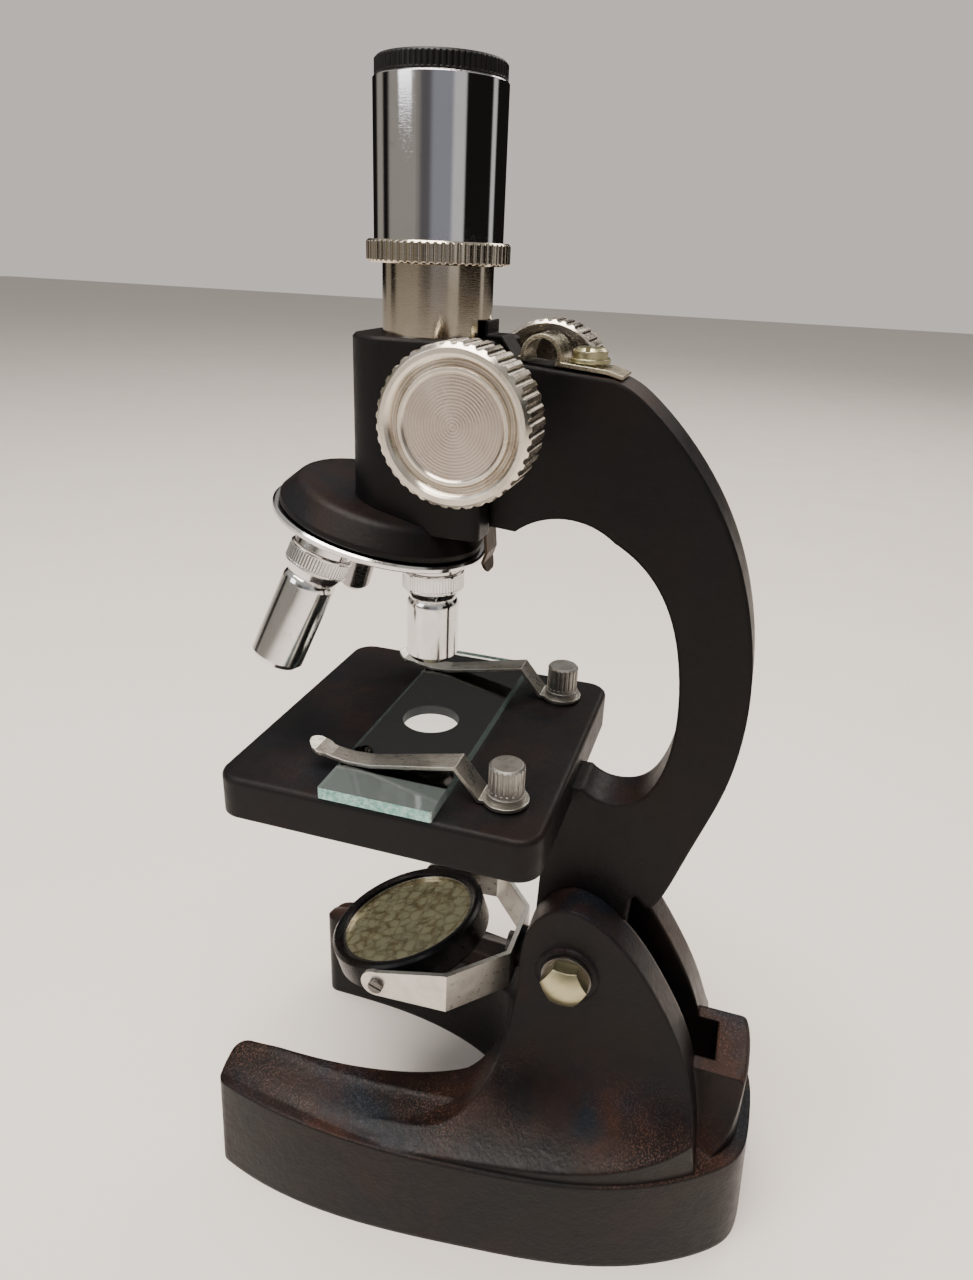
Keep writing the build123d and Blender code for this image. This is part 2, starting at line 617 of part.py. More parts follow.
with BuildPart() as seat_boss:
    column(0, 0, 6.4, SEAT_Z - 7.0, SEAT_Z + 3)
    column(0, 0, 4.0, SEAT_Z - 8.0, SEAT_Z + 4, mode=Mode.SUBTRACT)
    with BuildSketch(TURRET.offset(-0.4)):
        Rectangle(90, 90)
    extrude(amount=30, mode=Mode.SUBTRACT)

with BuildPart() as seat_bore:
    column(0, 0, 4.0, SEAT_Z - 12, SEAT_Z + 6)

with BuildPart() as turret_plate:
    with BuildSketch(TURRET_SECTION):
        with BuildLine():
            Polyline(
                (2.06, -0.1), (TURRET_RADIUS - 0.5, -0.1), (TURRET_RADIUS, -0.5), (TURRET_RADIUS, -1.3),
                (TURRET_RADIUS - 0.5, -1.7), (20.5, -1.9), (19.0, -2.6), (5.0, -2.6), (2.06, -2.6), (2.06, -0.1),
            )
        make_face()
    revolve(axis=TURRET_AXIS)
    for station in range(OBJECTIVES):
        add(turned(seat_boss.part, station))
    for station in range(OBJECTIVES):
        add(turned(seat_bore.part, station), mode=Mode.SUBTRACT)
turret_plate.part.label = "turret_plate"
export_step(turret_plate.part, "parts/turret_plate.step")

with BuildPart() as turret_pivot:
    with BuildSketch(TURRET.offset(-3.6)):
        Circle(2.0)
    extrude(amount=6.4)
    with BuildSketch(TURRET.offset(-4.0)):
        Circle(4.2)
    extrude(amount=1.2)
    with BuildSketch(TURRET.offset(-4.3)):
        Rectangle(9, 0.9)
    extrude(amount=0.9, mode=Mode.SUBTRACT)
turret_pivot.part.label = "turret_pivot"
export_step(turret_pivot.part, "parts/turret_pivot.step")

COLLAR_TOP = SEAT_Z - 7.0
COLLAR_RADIUS = 7.0
# name, station, distance of the tip below the seat, barrel radius, front lens radius
OBJECTIVE_SET = (
    ("medium", 0, 28.6, 5.9, 2.4),
    ("short", 1, 27.0, 4.0, 1.8),
    ("long", 2, 35.0, 5.9, 1.8),
)

for name, station, reach, barrel, lens_radius in OBJECTIVE_SET:
    tip = SEAT_Z - reach
    bore = 0.6 * barrel
    with BuildPart() as objective:
        with BuildSketch(facing(0)):
            with BuildLine():
                throat = Polyline(
                    (bore, COLLAR_TOP + 4), (4.0, COLLAR_TOP + 4), (4.0, COLLAR_TOP - 0.1), (6.7, COLLAR_TOP - 0.1),
                    (COLLAR_RADIUS, COLLAR_TOP - 0.4), (COLLAR_RADIUS, COLLAR_TOP - 4.3), (6.6, COLLAR_TOP - 4.7),
                    (0.9 * barrel, COLLAR_TOP - 6.8),
                )
                shoulder = ThreePointArc(
                    throat @ 1, (0.97 * barrel, COLLAR_TOP - 7.5), (barrel, COLLAR_TOP - 8.8)
                )
                Polyline(
                    shoulder @ 1, (barrel, tip + 1.2), (barrel - 0.9, tip), (lens_radius, tip),
                    (lens_radius, tip + 1.6), (bore, tip + 2.4), (bore, COLLAR_TOP + 4),
                )
            make_face()
        revolve(axis=Axis((0, AXIS_Y, 0), (0, 0, 1)))
        with BuildSketch(level(COLLAR_TOP - 3.9)):
            with PolarLocations(COLLAR_RADIUS + 0.16, 64):
                Circle(0.3)
        extrude(amount=3.1, mode=Mode.SUBTRACT)
    shell = turned(objective.part, station)
    shell.label = "objective_" + name
    export_step(shell, "parts/objective_" + name + ".step")
    with BuildPart() as front_lens:
        lens(tip + 0.9, lens_radius, 1.2)
    glass = turned(front_lens.part, station)
    glass.label = "objective_lens_" + name
    export_step(glass, "parts/objective_lens_" + name + ".step")

with BuildPart() as index_spring:
    with BuildSketch(side(-3.6)):
        with BuildLine():
            leaf = Polyline((8.8, 175.95), (12.8, 175.95), (13.3, 171.0), (12.5, 168.7), (13.2, 166.4))
            offset(leaf, 0.3, kind=Kind.INTERSECTION)
        make_face()
    extrude(amount=7.2)
    # the free end is round
    with BuildSketch(facing(20)) as leaf_outline:
        with Locations((0, 172)):
            Rectangle(7.2, 9)
        with Locations((0, 169.5)):
            Circle(3.6)
        with Locations((0, 167)):
            Rectangle(9, 5, mode=Mode.SUBTRACT)
        with Locations((0, 169.5)):
            Circle(3.6)
    extrude(leaf_outline.sketch, amount=14, mode=Mode.INTERSECT)
    column(0, INDEX_SCREW_Y, 0.9, 174, 178, mode=Mode.SUBTRACT)
index_spring.part.label = "index_spring"
export_step(index_spring.part, "parts/index_spring.step")

with BuildPart() as index_screw:
    column(0, INDEX_SCREW_Y, 0.9, 175.0, 178.4)
    column(0, INDEX_SCREW_Y, 1.7, 174.9, 175.65)
index_screw.part.label = "index_screw"
export_step(index_screw.part, "parts/index_screw.step")

# ---------------------------------------------------------------- stage
STAGE_MIDDLE = (STAGE_FRONT + STAGE_REAR) / 2
STAGE_DEPTH = STAGE_REAR - STAGE_FRONT

with BuildPart() as stage:
    with BuildSketch(level(STAGE_BOTTOM)):
        with Locations((0, STAGE_MIDDLE)):
            RectangleRounded(2 * STAGE_HALF, STAGE_DEPTH, 5.5)
    extrude(amount=STAGE_TOP - STAGE_BOTTOM)
    fillet(stage.faces().sort_by(Axis.Z)[-1].edges(), 1.3)
    with BuildSketch(level(STAGE_BOTTOM - 1)):
        with Locations((0, STAGE_MIDDLE)):
            RectangleRounded(2 * (STAGE_HALF - STAGE_WALL), STAGE_DEPTH - 2 * STAGE_WALL, 3.0)
    extrude(amount=STAGE_TOP - STAGE_PLATE - STAGE_BOTTOM + 1, mode=Mode.SUBTRACT)
    # pad over the arm's tongue, bosses under the clip posts
    with BuildSketch(level(TONGUE_TOP)):
        with Locations((0, 28.8)):
            Rectangle(12, 14)
    extrude(amount=STAGE_TOP - STAGE_PLATE - TONGUE_TOP)
    for post_x in (-POST_X, POST_X):
        column(post_x, POST_Y, 4.5, 117, STAGE_TOP - STAGE_PLATE)
    with BuildSketch(level(STAGE_BOTTOM - 1)):
        with Locations((0, STAGE_REAR)):
            Rectangle(2 * ARM_HALF + 0.3, 8)
    extrude(amount=TONGUE_TOP + 0.15 - STAGE_BOTTOM + 1, mode=Mode.SUBTRACT)
    column(0, 0, LIGHT_HOLE, 110, 130, mode=Mode.SUBTRACT)
    for post_x in (-POST_X, POST_X):
        column(post_x, POST_Y, 2.0, 110, 130, mode=Mode.SUBTRACT)
    for screw_y in STAGE_SCREWS:
        column(0, screw_y, 1.5, 110, 121.5, mode=Mode.SUBTRACT)
stage.part.label = "stage"
export_step(stage.part, "parts/stage.step")

with BuildPart() as stage_screws:
    for screw_y in STAGE_SCREWS:
        column(0, screw_y, 1.5, STAGE_HEAD - 0.1, 121.4)
        column(0, screw_y, 2.2, STAGE_HEAD - 1.6, STAGE_HEAD)
    with BuildSketch(level(STAGE_HEAD - 2)):
        Rectangle(0.8, 90)
    extrude(amount=1.1, mode=Mode.SUBTRACT)
stage_screws.part.label = "stage_screws"
export_step(stage_screws.part, "parts/stage_screws.step")

with BuildPart() as glass_slide:
    with BuildSketch(level(STAGE_TOP)):
        with Locations((0, SLIDE_Y)):
            Rectangle(76.2, 25.4)
    extrude(amount=SLIDE_THICK)
    chamfer(glass_slide.edges().filter_by(Axis.Z), 0.3)
glass_slide.part.label = "glass_slide"
export_step(glass_slide.part, "parts/glass_slide.step")

# ---------------------------------------------------------------- stage clips
CLIP_SHEET = 0.8
CLIP_REST = STAGE_TOP + SLIDE_THICK + 0.12 + CLIP_SHEET / 2
WASHER_TOP = STAGE_TOP + 0.6
FOOT_MIDDLE = WASHER_TOP + CLIP_SHEET / 2
POST_RADIUS = 3.84

for side_name, hand in (("right", 1), ("left", -1)):
    post_x = hand * POST_X
    with BuildPart() as stage_clip:
        with BuildSketch(side(post_x - 3.0)):
            with BuildLine():
                strip = Polyline(
                    (POST_Y, FOOT_MIDDLE), (POST_Y - 5.2, FOOT_MIDDLE), (POST_Y - 10.6, 132.0),
                    (-4, CLIP_REST + 0.2), (-9, CLIP_REST), (-13, CLIP_REST + 0.5), (-16.5, CLIP_REST + 1.6),
                    (-19.5, CLIP_REST + 3.2),
                )
                offset(strip, CLIP_SHEET / 2, kind=Kind.INTERSECTION)
            make_face()
        extrude(amount=6.0)
        # the strip leans outwards along its length, and its free end is round
        with BuildSketch(level(STAGE_TOP)):
            with BuildLine():
                Polyline(
                    (post_x - hand * 3.0, POST_Y), (post_x - hand * 3.0, 14), (post_x - hand * 2.2, -14),
                )
                ThreePointArc((post_x - hand * 2.2, -14), (post_x, -18.6), (post_x + hand * 2.2, -14))
                Polyline(
                    (post_x + hand * 2.2, -14), (post_x + hand * 3.0, 14), (post_x + hand * 3.0, POST_Y),
                    (post_x - hand * 3.0, POST_Y),
                )
            make_face()
        extrude(amount=12, mode=Mode.INTERSECT)
        column(post_x, POST_Y, 5.0, WASHER_TOP, WASHER_TOP + CLIP_SHEET)
        column(post_x, POST_Y, 2.0, 120, 130, mode=Mode.SUBTRACT)
    stage_clip.part.label = "stage_clip_" + side_name
    export_step(stage_clip.part, "parts/stage_clip_" + side_name + ".step")

    with BuildPart() as clip_post:
        column(post_x, POST_Y, 2.0, 117.5, WASHER_TOP + CLIP_SHEET + 0.1)
        column(post_x, POST_Y, 4.2, WASHER_TOP + CLIP_SHEET, WASHER_TOP + CLIP_SHEET + 1.4)
        column(post_x, POST_Y, POST_RADIUS, WASHER_TOP + CLIP_SHEET + 1.3, POST_TOP)
        chamfer(clip_post.faces().sort_by(Axis.Z)[-1].edges(), 0.5)
        with BuildSketch(level(WASHER_TOP + CLIP_SHEET + 2.2)):
            with Locations((post_x, POST_Y)):
                with PolarLocations(POST_RADIUS + 0.12, 20):
                    Circle(0.32)
        extrude(amount=10, mode=Mode.SUBTRACT)
    clip_post.part.label = "clip_post_" + side_name
    export_step(clip_post.part, "parts/clip_post_" + side_name + ".step")

    with BuildPart() as clip_washer:
        column(post_x, POST_Y, 4.4, STAGE_TOP, WASHER_TOP)
        column(post_x, POST_Y, 2.0 + RUNNING, STAGE_TOP - 1, WASHER_TOP + 1, mode=Mode.SUBTRACT)
    clip_washer.part.label = "clip_washer_" + side_name
    export_step(clip_washer.part, "parts/clip_washer_" + side_name + ".step")

# ---------------------------------------------------------------- mirror and its fork
MIRROR_LEAN = radians(MIRROR_TILT)
MIRROR = Plane(
    origin=(0, AXIS_Y + MIRROR_Y, MIRROR_Z), x_dir=(1, 0, 0), z_dir=(0, -sin(MIRROR_LEAN), cos(MIRROR_LEAN))
)
MIRROR_SECTION = Plane(origin=MIRROR.origin, x_dir=(1, 0, 0), z_dir=MIRROR.y_dir * -1)
MIRROR_AXIS = Axis(MIRROR.origin, MIRROR.z_dir)
GLASS_RADIUS = 18.4
PIVOT_RADIUS = 1.2

with BuildPart() as mirror_frame:
    with BuildSketch(MIRROR_SECTION):
        with BuildLine():
            Polyline(
                (0, -4.6), (MIRROR_RADIUS - 1.2, -4.6), (MIRROR_RADIUS, -3.4), (MIRROR_RADIUS, 3.0),
                (MIRROR_RADIUS - 0.8, 3.8), (GLASS_RADIUS + 1.0, 3.8), (GLASS_RADIUS, 3.2), (GLASS_RADIUS, -0.4),
                (0, -0.4), (0, -4.6),
            )
        make_face()
    revolve(axis=MIRROR_AXIS)
    crossbar(MIRROR_Y, MIRROR_Z, PIVOT_RADIUS, -30, 30, mode=Mode.SUBTRACT)
mirror_frame.part.label = "mirror_frame"
export_step(mirror_frame.part, "parts/mirror_frame.step")

with BuildPart() as mirror_glass:
    with BuildSketch(MIRROR.offset(-0.4)):
        Circle(GLASS_RADIUS)
    extrude(amount=2.2)
mirror_glass.part.label = "mirror_glass"
export_step(mirror_glass.part, "parts/mirror_glass.step")

with BuildPart() as mirror_retainer:
    with BuildSketch(MIRROR_SECTION):
        with Locations((GLASS_RADIUS - 0.35, 2.25)):
            Rectangle(0.7, 0.9)
    revolve(axis=MIRROR_AXIS)
mirror_retainer.part.label = "mirror_retainer"
export_step(mirror_retainer.part, "parts/mirror_retainer.step")

with BuildPart() as mirror_fork:
    with BuildSketch(level(50)):
        with BuildLine():
            bow = Polyline(
                (FORK_X, -14), (FORK_X, 13.4), (9.2, FORK_BACK_Y), (-9.2, FORK_BACK_Y), (-FORK_X, 13.4), (-FORK_X, -14)
            )
            offset(bow, FORK_SHEET / 2, kind=Kind.INTERSECTION)
        make_face()
    extrude(amount=30)
    with BuildSketch(side(-40)):
        with BuildLine():
            nose = ThreePointArc((MIRROR_Y, 57.4), (MIRROR_Y - 4.2, 61.0), (MIRROR_Y, 64.8))
            Polyline(
                nose @ 1, (13.0, 69.6), (FORK_BACK_Y + 2, 68.8), (FORK_BACK_Y + 2, 57.8), (13.4, 58.4), nose @ 0
            )
        make_face()
    extrude(amount=80, mode=Mode.INTERSECT)
    crossbar(MIRROR_Y, MIRROR_Z, PIVOT_RADIUS + RUNNING, -30, 30, mode=Mode.SUBTRACT)
    with BuildSketch(facing(FORK_BACK_Y + 3)):
        with Locations((0, FORK_Z)):
            Circle(1.5 + RUNNING)
    extrude(amount=6, mode=Mode.SUBTRACT)
mirror_fork.part.label = "mirror_fork"
export_step(mirror_fork.part, "parts/mirror_fork.step")

with BuildPart() as mirror_pivots:
    for hand in (-1, 1):
        crossbar(MIRROR_Y, MIRROR_Z, PIVOT_RADIUS, hand * (MIRROR_RADIUS - 2.4), hand * (FORK_X + 0.9))
        crossbar(MIRROR_Y, MIRROR_Z, 1.9, hand * (FORK_X + 0.7), hand * (FORK_X + 1.6))
    with BuildSketch(side(-30)):
        with Locations((MIRROR_Y, MIRROR_Z)):
            Rectangle(5, 0.5, rotation=30)
    extrude(amount=30 - FORK_X - 1.2, mode=Mode.SUBTRACT)
    with BuildSketch(side(FORK_X + 1.2)):
        with Locations((MIRROR_Y, MIRROR_Z)):
            Rectangle(5, 0.5, rotation=-20)
    extrude(amount=4, mode=Mode.SUBTRACT)
mirror_pivots.part.label = "mirror_pivots"
export_step(mirror_pivots.part, "parts/mirror_pivots.step")

with BuildPart() as fork_screw:
    with BuildSketch(facing(37)):
        with Locations((0, FORK_Z)):
            Circle(1.5)
    extrude(amount=37 - FORK_BACK_Y + 1)
    with BuildSketch(facing(FORK_BACK_Y - FORK_SHEET / 2 - 0.1)):
        with Locations((0, FORK_Z)):
            Circle(3.2)
    extrude(amount=1.8)
    with BuildSketch(facing(FORK_BACK_Y - FORK_SHEET / 2 - 1.1)):
        with Locations((0, FORK_Z)):
            Rectangle(7, 0.9)
    extrude(amount=2, mode=Mode.SUBTRACT)
fork_screw.part.label = "fork_screw"
export_step(fork_screw.part, "parts/fork_screw.step")
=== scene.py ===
"""Looks of the microscope: materials, floor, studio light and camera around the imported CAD."""

import math

import bpy
from mathutils import Matrix, Vector


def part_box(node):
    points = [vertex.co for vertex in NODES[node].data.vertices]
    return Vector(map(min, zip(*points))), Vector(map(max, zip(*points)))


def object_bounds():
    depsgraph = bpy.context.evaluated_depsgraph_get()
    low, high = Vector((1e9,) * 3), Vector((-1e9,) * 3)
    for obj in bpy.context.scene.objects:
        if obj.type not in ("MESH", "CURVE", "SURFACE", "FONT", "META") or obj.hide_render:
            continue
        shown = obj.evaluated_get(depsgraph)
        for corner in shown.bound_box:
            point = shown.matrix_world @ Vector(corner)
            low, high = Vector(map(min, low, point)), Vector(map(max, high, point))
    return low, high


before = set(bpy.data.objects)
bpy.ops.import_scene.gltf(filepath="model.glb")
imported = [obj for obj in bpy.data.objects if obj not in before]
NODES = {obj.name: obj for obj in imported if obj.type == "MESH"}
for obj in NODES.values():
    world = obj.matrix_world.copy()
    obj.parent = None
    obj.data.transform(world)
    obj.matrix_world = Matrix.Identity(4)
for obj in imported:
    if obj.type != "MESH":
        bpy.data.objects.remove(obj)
cad_low, cad_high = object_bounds()

BEVEL_SAMPLES = 6
RING_PITCH = 0.00056  # tool marks on the knobs' faces
FROSTED_BAND = 0.009  # rough band at the near end of the slide
FLOOR_HALF = 4.0


# ---------------------------------------------------------------- shader building
class Shader:
    """A node material with one Principled shader, in metres in the object's own frame."""

    def __init__(self, name, **constants):
        self.material = bpy.data.materials.new(name)
        self.material.use_nodes = True
        self.tree = self.material.node_tree
        self.tree.nodes.clear()
        self.output = self.tree.nodes.new("ShaderNodeOutputMaterial")
        self.surface = self.tree.nodes.new("ShaderNodeBsdfPrincipled")
        self.tree.links.new(self.surface.outputs["BSDF"], self.output.inputs["Surface"])
        self.place = self.tree.nodes.new("ShaderNodeTexCoord").outputs["Object"]
        for socket, value in constants.items():
            self.surface.inputs[socket.replace("_", " ")].default_value = value

    def put(self, socket, value):
        """Sets or links one input of the Principled shader."""
        self.feed(self.surface.inputs[socket], value)

    def feed(self, target, value):
        if isinstance(value, bpy.types.NodeSocket):
            self.tree.links.new(value, target)
        else:
            target.default_value = value

    def math(self, operation, first, second=0.0, third=0.0, clamp=False):
        node = self.tree.nodes.new("ShaderNodeMath")
        node.operation = operation
        node.use_clamp = clamp
        for target, value in zip(node.inputs, (first, second, third)):
            self.feed(target, value)
        return node.outputs[0]

    def times(self, first, second):
        return self.math("MULTIPLY", first, second)

    def plus(self, first, second, clamp=False):
        return self.math("ADD", first, second, clamp=clamp)

    def minus(self, first, second, clamp=False):
        return self.math("SUBTRACT", first, second, clamp=clamp)

    def noise(self, scale, detail=3.0, roughness=0.55, distortion=0.0, place=None):
        node = self.tree.nodes.new("ShaderNodeTexNoise")
        self.feed(node.inputs["Vector"], place or self.place)
        node.inputs["Scale"].default_value = scale
        node.inputs["Detail"].default_value = detail
        node.inputs["Roughness"].default_value = roughness
        node.inputs["Distortion"].default_value = distortion
        return node.outputs["Fac"]

    def cells(self, scale, feature="F1", place=None):
        node = self.tree.nodes.new("ShaderNodeTexVoronoi")
        node.feature = feature
        self.feed(node.inputs["Vector"], place or self.place)
        node.inputs["Scale"].default_value = scale
        return node.outputs["Distance"]

    def stretched(self, x, y, z):
        """Position scaled by axis: a noise is drawn out along the axis with the small factor."""
        node = self.tree.nodes.new("ShaderNodeVectorMath")
        node.operation = "MULTIPLY"
        self.tree.links.new(self.place, node.inputs[0])
        node.inputs[1].default_value = (x, y, z)
        return node.outputs[0]

    def span(self, value, low, high, out_low=0.0, out_high=1.0):
        """Maps low..high to out_low..out_high and holds the ends."""
        node = self.tree.nodes.new("ShaderNodeMapRange")
        self.feed(node.inputs["Value"], value)
        node.inputs["From Min"].default_value = low
        node.inputs["From Max"].default_value = high
        node.inputs["To Min"].default_value = out_low
        node.inputs["To Max"].default_value = out_high
        return node.outputs["Result"]

    def blend(self, factor, first, second):
        """Mix of two colours."""
        node = self.tree.nodes.new("ShaderNodeMix")
        node.data_type = "RGBA"
        self.feed(node.inputs["Factor"], factor)
        colour_inputs = [socket for socket in node.inputs if socket.type == "RGBA"]
        for target, value in zip(colour_inputs, (first, second)):
            self.feed(target, value if isinstance(value, bpy.types.NodeSocket) else (*value, 1.0))
        return next(socket for socket in node.outputs if socket.type == "RGBA")

    def axes(self, source=None):
        node = self.tree.nodes.new("ShaderNodeSeparateXYZ")
        self.tree.links.new(source or self.place, node.inputs[0])
        return node.outputs

    def facing(self):
        """The surface normal in the object's frame."""
        node = self.tree.nodes.new("ShaderNodeTexCoord")
        return self.axes(node.outputs["Normal"])

    def bump(self, height, depth, strength=1.0, after=None):
        """Bump of the given depth in metres for a height of 1."""
        node = self.tree.nodes.new("ShaderNodeBump")
        node.inputs["Distance"].default_value = depth
        node.inputs["Strength"].default_value = strength
        self.feed(node.inputs["Height"], height)
        if after is not None:
            self.tree.links.new(after, node.inputs["Normal"])
        return node.outputs["Normal"]

    def rounded(self, radius):
        """Softened edges."""
        node = self.tree.nodes.new("ShaderNodeBevel")
        node.samples = BEVEL_SAMPLES
        node.inputs["Radius"].default_value = radius
        return node.outputs["Normal"]

    def distance_from_line(self, first, first_centre, second, second_centre):
        """Distance from the line along the third axis through the two given centres."""
        across = self.math("POWER", self.minus(first, first_centre), 2.0)
        along = self.math("POWER", self.minus(second, second_centre), 2.0)
        return self.math("SQRT", self.plus(across, along))


# ---------------------------------------------------------------- materials
def enamel(name, colour, gloss, grain, wear, edge=0.0007, warm=0.5):
    """Black enamel over a casting: fine grain, patchy gloss, painted sheen on the tops, worn
    places with a painted speckled highlight and a few chips.

    gloss is the mean roughness, grain the bump depth, wear the amount of rubbing wear and of the
    painted speckled highlight, edge the radius of softened edges and warm how far the painted
    reddish and bluish sheen reaches.
    """
    m = Shader(name, Specular_IOR_Level=0.14)
    patches = m.noise(38, detail=4)
    fine = m.noise(1500, detail=2)
    coarse = m.noise(420, detail=3)
    pores = m.cells(900)
    speckle = m.noise(2300, detail=1)
    hue = m.span(m.noise(50, detail=5, distortion=0.4), 0.42, 0.62)
    upward = m.span(m.facing()[2], 0.2, 0.9)
    # worn upward faces, which also carry a painted speckled highlight
    rubbed_and_lit_tops = m.times(upward, m.span(m.noise(30, detail=5, roughness=0.65), 0.42, 0.66))
    # painted sheen: reddish and bluish colour on the black enamel, stronger on upward faces
    painted_sheen_tint = m.blend(hue, (0.048, 0.021, 0.014), (0.010, 0.014, 0.022))
    painted_sheen_amount = m.times(m.span(patches, 0.35, 0.7, 0.0, warm), m.span(upward, 0.0, 1.0, 0.25, 1.0))
    base = m.blend(painted_sheen_amount, colour, painted_sheen_tint)
    # dust on the tops together with a painted speckled highlight, reddish and bluish by hue
    dust = m.times(m.times(rubbed_and_lit_tops, wear), m.span(speckle, 0.5, 0.72))
    base = m.blend(dust, base, m.blend(hue, (0.17, 0.085, 0.060), (0.07, 0.085, 0.115)))
    chips = m.times(m.span(m.noise(210, detail=6, roughness=0.7), 0.69, 0.72), 0.6 * wear)
    base = m.blend(chips, base, (0.085, 0.058, 0.042))
    m.put("Base Color", base)
    rough = m.span(patches, 0.3, 0.7, gloss - 0.06, gloss + 0.08)
    rough = m.plus(rough, m.span(coarse, 0.3, 0.7, -0.04, 0.06))
    m.put("Roughness", m.plus(rough, m.times(chips, 0.3), clamp=True))
    height = m.plus(m.times(fine, 0.45), m.times(coarse, 0.8))
    height = m.plus(height, m.times(pores, 0.25))
    m.put("Normal", m.bump(height, grain, after=m.rounded(edge)))
    return m.material


def plated(name, colour, roughness, tarnish_colour, tarnish, pits=0.0, lines=None):
    """Plated metal with smudges, tarnish and fine scratches."""
    m = Shader(name, Metallic=1.0)
    smudge = m.noise(55, detail=5, roughness=0.6, distortion=0.8)
    stain = m.noise(260, detail=6, roughness=0.68)
    scratch_place = lines or (90, 90, 1500)
    scratch = m.noise(6, detail=6, roughness=0.7, place=m.stretched(*scratch_place))
    amount = m.times(m.span(smudge, 0.48, 0.75), tarnish)
    spots = m.times(m.span(stain, 0.62, 0.74), pits)
    stained = m.plus(amount, spots, clamp=True)
    m.put("Base Color", m.blend(stained, colour, tarnish_colour))
    rough = m.span(smudge, 0.3, 0.75, roughness * 0.7, roughness * 1.5)
    rough = m.plus(rough, m.times(m.span(scratch, 0.5, 0.75), roughness * 0.8))
    m.put("Roughness", m.plus(rough, m.times(spots, 0.3), clamp=True))
    height = m.plus(scratch, m.times(stain, 0.4))
    m.put("Normal", m.bump(height, 0.000006, after=m.rounded(0.00022)))
    return m.material


def turned_face(name, node):
    """Knob with a turned face: concentric tool marks inside the rim, worn teeth outside it."""
    low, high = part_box(node)
    centre_y = (low.y + high.y) / 2
    centre_z = (low.z + high.z) / 2
    radius = (high.y - low.y) / 2
    m = Shader(name, Metallic=1.0, Anisotropic=0.75, Anisotropic_Rotation=0.25)
    tangent = m.tree.nodes.new("ShaderNodeTangent")
    tangent.direction_type = "RADIAL"
    tangent.axis = "X"
    m.tree.links.new(tangent.outputs[0], m.surface.inputs["Tangent"])
    x, y, z = m.axes()
    away = m.distance_from_line(y, centre_y, z, centre_z)
    inside_rim = m.span(away, radius * 0.64, radius * 0.66, 1.0, 0.0)
    middle_x = abs(high.x + low.x) / 2
    face = m.times(inside_rim, m.span(m.math("ABSOLUTE", x), middle_x, middle_x + 0.003))
    marks = m.math("SINE", m.times(away, 2 * math.pi / RING_PITCH))
    grime = m.noise(130, detail=6, roughness=0.65, distortion=0.4)
    dirt = m.times(m.span(grime, 0.52, 0.72), 0.35)
    from_groove = m.math("ABSOLUTE", m.minus(away, radius * 0.765))
    groove = m.times(m.span(from_groove, 0.0, 0.0007, 1.0, 0.0), 0.7)
    colour = m.blend(m.plus(dirt, groove, clamp=True), (0.72, 0.66, 0.57), (0.19, 0.15, 0.10))
    ringed = m.times(face, m.span(marks, -1.0, 1.0, 0.55, 0.8))
    colour = m.blend(ringed, colour, (0.36, 0.295, 0.25))
    m.put("Base Color", colour)
    m.put("Roughness", m.plus(m.span(grime, 0.3, 0.7, 0.16, 0.30), m.times(face, 0.06)))
    height = m.times(face, m.times(marks, 0.5))
    m.put("Normal", m.bump(height, 0.000014, after=m.rounded(0.0002)))
    return m.material


def brushed(name, colour, dark, roughness, direction, speckle=0.4, wear=0.75):
    """Satin sheet metal with grain along one axis, stains and scuffs."""
    m = Shader(name, Metallic=1.0, Anisotropic=0.3)
    grain = m.noise(5, detail=8, roughness=0.75, place=m.stretched(*direction))
    stain = m.noise(190, detail=6, roughness=0.66, distortion=0.5)
    spots = m.span(m.noise(700, detail=4, roughness=0.7), 0.6, 0.72)
    worn = m.span(stain, 0.45, 0.72, 0.0, wear)
    m.put("Base Color", m.blend(m.plus(worn, m.times(spots, speckle), clamp=True), colour, dark))
    rough = m.plus(m.span(grain, 0.3, 0.7, roughness - 0.07, roughness + 0.1), m.times(worn, 0.15))
    m.put("Roughness", m.plus(rough, m.times(spots, 0.2 * speckle), clamp=True))
    height = m.plus(grain, m.times(spots, -speckle))
    m.put("Normal", m.bump(height, 0.00001, after=m.rounded(0.0002)))
    return m.material


def plastic(name):
    """Black moulded eyecup, dulled by handling."""
    m = Shader(name, Specular_IOR_Level=0.25)
    haze = m.noise(120, detail=5)
    dulled = m.span(haze, 0.4, 0.7, 0.0, 0.6)
    m.put("Base Color", m.blend(dulled, (0.004, 0.004, 0.004), (0.010, 0.009, 0.009)))
    m.put("Roughness", m.span(haze, 0.3, 0.7, 0.34, 0.52))
    m.put("Normal", m.bump(m.noise(1800, detail=2), 0.00003, after=m.rounded(0.0003)))
    return m.material


def lens_glass(name):
    """Coated lens glass with a little haze."""
    m = Shader(name, Transmission_Weight=1.0, IOR=1.52, Roughness=0.01)
    haze = m.span(m.noise(300, detail=4), 0.5, 0.7, 0.0, 0.2)
    m.put("Base Color", m.blend(haze, (0.96, 0.97, 1.0), (0.80, 0.86, 0.92)))
    return m.material


